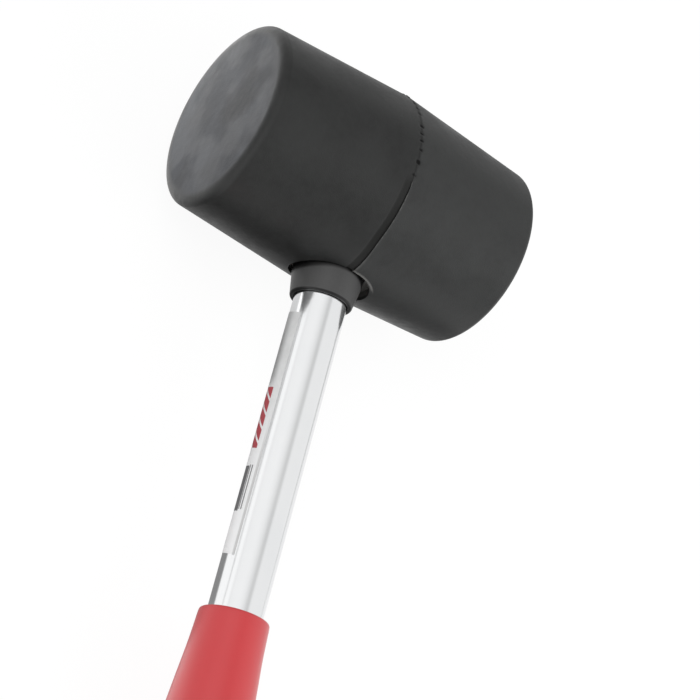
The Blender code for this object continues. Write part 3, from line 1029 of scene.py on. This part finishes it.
@dataclass
class Sticker(Maker):
    """Silver sticker along the tube, with slanted red bars, a grey block and a few thin rules.

    Marks are placed by u and v, from 0 to 1 across the film and down it.
    """

    top: float = -54.5 * MM
    length: float = 89.5 * MM
    width: float = 19.0 * MM
    slant: float = 3.8 * MM
    turned: float = math.radians(124.0)
    lift: float = 0.03 * MM
    thickness: float = 0.06 * MM
    rows: int = 24
    columns: int = 32
    bars_down: float = 17.0
    bars_across: float = 3.0
    bar_share: float = 0.78
    rules_across: float = 16.0
    rule_share: float = 0.5
    pale: Mark = Mark((0.89, 0.895, 0.90), (("v", 0.1, 0.75),))
    dull: Mark = Mark((0.30, 0.305, 0.305), (("u", 0.10, 0.34, 0.0, 0.8), ("v", 0.34, 0.26)))
    red: Mark = Mark((0.45, 0.065, 0.08), (*printed(0.17, 0.80, 0.323, 0.574), ("bars", 0.0, 1.0)))
    rules: Mark = Mark((0.22, 0.22, 0.225), (*printed(0.10, 0.24, 0.645, 0.822), ("rules", 0.0, 1.0)))
    block: Mark = Mark((0.15, 0.15, 0.155), printed(0.235, 0.80, 0.650, 0.830))
    # Painted shade: a grey strip along the film's near edge in its lower half, as the shadow line under its
    # lifted edge.
    edge: Mark = Mark((0.60, 0.60, 0.60), (("u", 0.06, 0.035), ("v", 0.35, 0.7)))
    film: Finish = Finish(
        name="silver_film",
        colour=(0.62, 0.625, 0.625),
        second=(0.78, 0.785, 0.785),
        roughness=0.36,
        roughness_change=0.04,
        blotch_scale=140.0,
        grain_scale=2200.0,
        grain_depth=0.00001,
    )

    def build(self) -> None:
        """Sweep the film part of the way round the tube, thicken it and print it."""
        radius = TUBE_RADIUS + self.lift
        sweep = self.width / radius
        start = self.turned - sweep / 2
        x, y = -radius * math.sin(start), -radius * math.cos(start)
        near = [(x, y, self.top - self.length * i / self.rows) for i in range(self.rows + 1)]
        sheet = Bench.turn("sticker_film", near, Axis.HANDLE, self.columns, sweep)
        facet = sheet.data.polygons[0]
        if facet.normal.dot(Vector((facet.center.x, facet.center.y, 0.0))) < 0.0:
            sheet.data.flip_normals()
        self.unwrap(sheet, start, sweep)
        layer = sheet.data.uv_layers["print"].data
        for corner in sheet.data.loops:
            sheet.data.vertices[corner.vertex_index].co.z = self.height(*layer[corner.index].uv)
        solid = sheet.modifiers.new("film", "SOLIDIFY")
        solid.thickness = self.thickness
        solid.offset = 1.0
        Bench.apply(sheet, solid)
        self.dress(sheet, self.paint(), "silver_film", "label")

    def height(self, across: float, down: float) -> float:
        """Height of a place on the film, whose ends rise towards its far edge."""
        return self.top + self.slant * across - self.length * down

    def unwrap(self, sheet: Piece, start: float, sweep: float) -> None:
        """Lay the film out flat in its UV map, across it and down it.

        Args:
            sheet: the swept film.
            start: angle of its near edge from the front.
            sweep: angle that it covers.
        """
        layer = sheet.data.uv_layers.new(name="print")
        for loop in sheet.data.loops:
            x, y, z = sheet.data.vertices[loop.vertex_index].co
            across = (math.atan2(-x, -y) % math.tau - start) / sweep
            layer.data[loop.index].uv = (across, (self.top - z) / self.length)

    def paint(self) -> Paint:
        """Silver film, unevenly bright, with the print on it and painted shade along its near edge."""
        coat = self.coat(self.film)
        tree = coat.tree
        u, v, _ = tree.apart(tree.add("UVMap", uv_map="print").outputs[0])
        slanted = tree.math("ADD", tree.times(v, self.bars_down), tree.times(u, self.bars_across))
        bars = tree.math("LESS_THAN", tree.math("FRACT", slanted), self.bar_share)
        rules = tree.math("LESS_THAN", tree.math("FRACT", tree.times(u, self.rules_across)), self.rule_share)
        for mark in (self.pale, self.dull, self.red, self.rules, self.block, self.edge):
            coat.lay({"u": u, "v": v, "bars": bars, "rules": rules}, mark)
        return coat.done()


@dataclass
class Grip(Maker):
    """Red vinyl grip: rounded rim, swelling neck, ringed palm and a flared butt."""

    length: float = 130.0 * MM
    bottom: float = -292.0 * MM
    bore: float = 9.7 * MM
    lip: Pair = (0.3 * MM, 0.4 * MM)
    rim_edge: float = 0.9 * MM
    rim_radius: float = 12.1 * MM
    rim_steps: int = 6
    floor: float = 10.0 * MM
    butt_steps: int = 12
    butt_hollow: tuple[Pair, ...] = ((6.0 * MM, 0.0), (2.5 * MM, 0.3 * MM), (0.0, 0.4 * MM))
    stations: tuple[Pair, ...] = (
        *((0.0, 12.1 * MM), (0.09, 12.7 * MM), (0.20, 13.9 * MM), (0.34, 15.2 * MM), (0.50, 15.6 * MM)),
        *((0.66, 15.0 * MM), (0.80, 14.8 * MM), (0.90, 16.0 * MM), (0.9354, 17.0 * MM)),
    )
    spacing: float = 0.012
    spaces: int = 76
    ring_count: int = 8
    ring_span: Pair = (0.36, 0.76)
    ring_width: float = 1.8 * MM
    ring_depth: float = 0.5 * MM
    ring_edge: Pair = (0.35, 1.0)
    ring_points: tuple[float, ...] = (-1.0, -0.8, -0.55, -0.3, 0.0, 0.3, 0.55, 0.8, 1.0)
    sheen: float = 0.16
    sheen_roughness: float = 0.6
    vinyl: Finish = Finish(
        name="red_vinyl",
        colour=(0.55, 0.018, 0.024),
        second=(0.59, 0.022, 0.028),
        roughness=0.38,
        specular=0.8,
        roughness_change=0.05,
        blotch_scale=60.0,
        grain_scale=1800.0,
        grain_coarse=0.8,
        grain_depth=0.000003,
    )

    def radius(self, share: float) -> float:
        """Radius of the side on a smooth curve through the stations.

        Args:
            share: distance below the rim, as a share of the length.

        Returns:
            The radius in metres.
        """
        spots = self.stations
        i = 0
        while i < len(spots) - 2 and share > spots[i + 1][0]:
            i += 1
        (low, start), (high, end) = spots[i], spots[i + 1]
        before, after = spots[max(i - 1, 0)], spots[min(i + 2, len(spots) - 1)]
        step = high - low
        leave = (end - before[1]) / (high - before[0]) * step
        arrive = (after[1] - start) / (after[0] - low) * step
        t = (share - low) / step
        value = (2 * t**3 - 3 * t**2 + 1) * start + (t**3 - 2 * t**2 + t) * leave
        return value + (3 * t**2 - 2 * t**3) * end + (t**3 - t**2) * arrive

    @property
    def ring_pitch(self) -> float:
        """Distance from ring to ring, as a share of the length."""
        first, last = self.ring_span
        return (last - first) / (self.ring_count - 1)

    def ring_cut(self, share: float) -> float:
        """Depth of the nearest ring at a place on the side."""
        first, pitch = self.ring_span[0], self.ring_pitch
        nearest = min(max(round((share - first) / pitch), 0), self.ring_count - 1)
        off = abs(share - first - nearest * pitch) * self.length / (self.ring_width / 2)
        return self.ring_depth * (1.0 - smoothstep(*self.ring_edge, off))

    def side(self) -> list[Pair]:
        """Points of the outer side, from under the rim to above the butt.

        Returns:
            Radii and heights.
        """
        shares = [self.spacing * i for i in range(1, self.spaces + 1)]
        half = self.ring_width / 2 / self.length
        for i in range(self.ring_count):
            middle = self.ring_span[0] + i * self.ring_pitch
            shares += [middle + half * point for point in self.ring_points]
        kept = sorted({round(share, 5) for share in shares if share < self.stations[-1][0]})
        top = self.bottom + self.length
        return [(self.radius(share) - self.ring_cut(share), top - share * self.length) for share in kept]

    def outline(self) -> list[Point]:
        """Outline of the grip, from the floor of its bore round to the butt."""
        top = self.bottom + self.length
        floor = self.bottom + self.floor
        wide, deep = self.lip
        points = [(0.0, floor), (self.bore, floor), (self.bore, top - deep), (self.bore + wide, top)]
        rim = (self.rim_radius - self.rim_edge, top - self.rim_edge)
        points += arc(rim, self.rim_edge, math.pi / 2, 0.0, self.rim_steps)
        points += self.side()
        edge = self.lie.butt_edge
        butt = (self.lie.butt_radius - edge, self.bottom + edge)
        points += arc(butt, edge, 0.0, -math.pi / 2, self.butt_steps)
        points += [(r, self.bottom + rise) for r, rise in self.butt_hollow]
        return [(r, 0.0, z) for r, z in points]

    def build(self) -> None:
        """Model the grip and dress it."""
        grip = Bench.turn("grip_vinyl", self.outline(), Axis.HANDLE, ROUND_STEPS)
        coat = self.coat(self.vinyl)
        coat.shader.inputs["Sheen Weight"].default_value = self.sheen
        coat.shader.inputs["Sheen Roughness"].default_value = self.sheen_roughness
        self.dress(grip, coat.done(), "red_vinyl", "grip")


@dataclass(frozen=True)
class Lamp:
    """A soft square lamp, with its power in watts."""

    name: str
    place: Point
    aim: Point
    size: float
    power: float

    def hang(self) -> None:
        """Hang the lamp so that it faces its aim and shows in no surface."""
        Bench.deselect()
        bpy.ops.object.light_add(type="AREA", location=self.place)
        lamp = bpy.context.active_object
        lamp.name = self.name
        lamp.data.size = self.size
        lamp.data.energy = self.power
        lamp.visible_glossy = False
        lamp.rotation_euler = (Vector(self.aim) - Vector(self.place)).to_track_quat("-Z", "Y").to_euler()


@dataclass(frozen=True)
class FloorMirror:
    """Level of the floor in mirrored light: bright to the left, dark beside the mallet.

    Spans are placed in metres: x and y on the floor, aside, the distance to either side, below,
    the distance below the middle of the head, and shifted, x moved over as the strip widens.
    Along is the share of the ray's direction that runs along the floor's y.
    """

    strip: Spans = (
        ("shifted", -0.030, -0.020),
        ("x", 0.010, 0.004),
        ("below", 0.036, 0.050),
        ("below", 0.06, 0.14, 1.0, 0.78),
    )
    strip_widens: Span = ("below", 0.06, 0.14, 0.0, 0.012)
    strip_narrows: Span = ("below", 0.150, 0.170, 0.0, -0.022)
    front: Spans = (("aside", 0.12, 0.085), ("below", 0.127, 0.087), ("below", -0.006, 0.085))
    grazing: Spans = (("x", 0.010, 0.020), ("along", 0.10, -0.05))
    near_face: Spans = (
        ("x", -0.118, -0.076, 0.5, 1.5),
        ("y", 0.115, 0.185, 1.0, 1.6),
        ("x", -0.064, -0.045, 1.0, 0.5),
    )
    by_head: Spans = (("y", 0.085, 0.110),)
    past_grip: Spans = (("y", -0.045, -0.020),)
    grip_left: float = 1.7
    tube_left: float = 1.06
    right: Spans = (("y", -0.04, 0.01, 1.05, 0.92), ("corner", 0.0, 1.0, 1.0, 0.75))
    corner: Spans = (("x", 0.09, 0.16), ("y", 0.13, 0.18))
    to_right: Spans = (("x", -0.02, 0.06),)
    whole: Spans = (("y", 0.17, 0.26, 1.0, 0.66), ("shade", 0.0, 1.0, 1.0, 0.15))

    def level(self, tree: Tree, middle: float) -> Socket:
        """Level at each place of the floor.

        Args:
            tree: nodes of the floor's material.
            middle: place of the middle of the head along the floor's y.

        Returns:
            The level.
        """
        surface = tree.add("NewGeometry").outputs
        x, y, _ = tree.apart(surface["Position"])
        _, along, _ = tree.apart(surface["Incoming"])
        below = tree.math("SUBTRACT", middle, y)
        places = {"x": x, "y": y, "along": along, "below": below, "aside": tree.math("ABSOLUTE", x)}

        def part(*spans: Span) -> Socket:
            """Product of ramps along the coordinates known so far."""
            return tree.product(places, spans)

        wider = tree.math("ADD", part(self.strip_widens), part(self.strip_narrows))
        places["shifted"] = tree.math("ADD", x, wider)
        front = tree.times(part(*self.front), tree.math("SUBTRACT", 1.0, part(*self.grazing)))
        places["shade"] = tree.math("MAXIMUM", part(*self.strip), front)
        places["corner"] = part(*self.corner)
        left = tree.mix(part(*self.by_head), self.tube_left, part(*self.near_face))
        left = tree.mix(part(*self.past_grip), self.grip_left, left)
        level = tree.mix(part(*self.to_right), left, part(*self.right))
        return tree.times(level, part(*self.whole))


@dataclass
class Studio:
    """Pale floor, soft light and the camera."""

    lie: Lie
    floor_size: float = 12.0
    floor_colour: Colour = (0.86, 0.86, 0.86)
    floor_roughness: float = 0.9
    floor_glow: float = 1.03
    floor_share: float = 0.90
    ambient: float = 0.62
    eye: Point = (-0.37584, -0.6159, -0.34816)
    look: Point = (0.49931, 0.78308, 0.37078)
    upward: Point = (-0.40882, -0.16437, 0.89769)
    lens: float = 115.484
    sensor: float = 36.0
    clip: Pair = (0.01, 60.0)
    panels: tuple[Pair, ...] = (
        *((-110.0, 1.06), (-76.0, 1.06), (-68.0, 0.90), (-60.0, 0.96), (-30.0, 0.97), (-16.0, 0.92)),
        *((-4.0, 0.80), (4.0, 0.67), (11.0, 0.65), (17.0, 0.86), (23.0, 0.90), (60.0, 0.90), (110.0, 0.92)),
    )
    depths: tuple[Pair, ...] = (
        *((-1.0, 0.72), (-0.80, 0.76), (-0.55, 1.0), (-0.28, 1.55), (0.0, 1.1)),
        *((0.22, 1.0), (0.50, 1.0), (0.60, 0.72), (0.72, 0.42), (0.86, 0.85)),
    )
    mirror: FloorMirror = FloorMirror()
    lamps: tuple[Lamp, ...] = (
        Lamp("key", place=(-0.9, 0.1, 1.2), aim=(0.0, 0.05, 0.03), size=1.2, power=8.0),
        Lamp("fill", place=(1.1, -0.5, 0.8), aim=(0.0, 0.0, 0.03), size=1.0, power=8.0),
    )

    def lay_floor(self) -> None:
        """Pale floor that keeps a soft shadow and has its own level in mirrored light."""
        Bench.deselect()
        bpy.ops.mesh.primitive_plane_add(size=self.floor_size)
        floor = bpy.context.active_object
        floor.name = "floor"
        paint = bpy.data.materials.new("floor_white")
        paint.use_nodes = True
        tree = Tree(paint.node_tree)
        shader = paint.node_tree.nodes["Principled BSDF"]
        tree.feed(shader.inputs["Base Color"], self.floor_colour)
        tree.feed(shader.inputs["Roughness"], self.floor_roughness)
        tree.feed(shader.inputs["Specular IOR Level"], 0.0)
        camera, mirrored = tree.seen()
        strength = tree.mix(mirrored, self.floor_glow, self.mirror.level(tree, self.lie.centre.y))
        glow = tree.add("Emission", {"Color": (1.0, 1.0, 1.0), "Strength": strength})
        share = tree.math("ADD", tree.times(camera, self.floor_share), mirrored, clamp=True)
        mixed = tree.add("MixShader", {0: share, 1: shader.outputs[0], 2: glow.outputs[0]})
        tree.feed(paint.node_tree.nodes["Material Output"].inputs["Surface"], mixed.outputs[0])
        floor.data.materials.append(paint)

    def steps(self, tree: Tree, value: Any, stops: Iterable[Pair]) -> Socket:
        """Level that goes from stop to stop as a value goes from 0 to 1.

        Args:
            tree: nodes of the world.
            value: value from 0 to 1.
            stops: places and levels, in order.

        Returns:
            The level.
        """
        node = tree.add("ValToRGB", {"Fac": value})
        elements = node.color_ramp.elements
        for place, level in stops:
            elements.new(place).color = (level, level, level, 1.0)
        elements.remove(elements[0])
        elements.remove(elements[-1])
        return node.outputs["Color"]

    def fill_world(self) -> None:
        """Pale surroundings, lightest from above the upright mallet, with panels along its handle."""
        world = bpy.data.worlds.new("tent")
        bpy.context.scene.world = world
        world.use_nodes = True
        tree = Tree(world.node_tree)
        back = world.node_tree.nodes["Background"]
        camera, mirrored = tree.seen()
        x, y, z = tree.apart(tree.add("TexCoord").outputs["Generated"])
        turn = tree.math("ADD", tree.math("DIVIDE", tree.math("ARCTAN2", x, z), math.tau), 0.5)
        panels = self.steps(tree, turn, [(angle / 360.0 + 0.5, level) for angle, level in self.panels])
        depth = tree.math("ADD", tree.math("DIVIDE", y, 2.0), 0.5)
        depths = self.steps(tree, depth, [(place / 2.0 + 0.5, level) for place, level in self.depths])
        level = tree.mix(mirrored, self.ambient, tree.times(panels, depths))
        tree.feed(back.inputs["Color"], (1.0, 1.0, 1.0))
        tree.feed(back.inputs["Strength"], tree.mix(camera, level, 1.0))

    def place_camera(self) -> None:
        """Set the camera where the photograph was taken from."""
        data = bpy.data.cameras.new("camera")
        camera = bpy.data.objects.new("camera", data)
        bpy.context.scene.collection.objects.link(camera)
        data.lens = self.lens
        data.sensor_width = self.sensor
        data.clip_start, data.clip_end = self.clip
        back = -Vector(self.look).normalized()
        side = Vector(self.upward).cross(back).normalized()
        upward = back.cross(side)
        turn = Matrix((side, upward, back)).transposed().to_4x4()
        camera.matrix_world = self.lie.matrix @ Matrix.Translation(self.eye) @ turn
        bpy.context.scene.camera = camera

    def build(self) -> None:
        """Set up the floor, the light and the camera."""
        bpy.context.scene.view_settings.view_transform = "Standard"
        self.lay_floor()
        self.fill_world()
        for lamp in self.lamps:
            lamp.hang()
        self.place_camera()
        LOG.info("studio: floor, tent, %d lamps and camera", len(self.lamps))


def main() -> None:
    """Build the mallet's pieces in order, then the studio; each piece logs its face count."""
    logging.basicConfig(level=logging.INFO, format="%(message)s")
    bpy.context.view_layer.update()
    lie = Lie()
    effects = Effects()
    for piece in (RubberHead, HandleBush, HandleTube, Sticker, Grip):
        piece(lie, effects).build()
    Studio(lie).build()


if __name__ == "__main__":
    main()
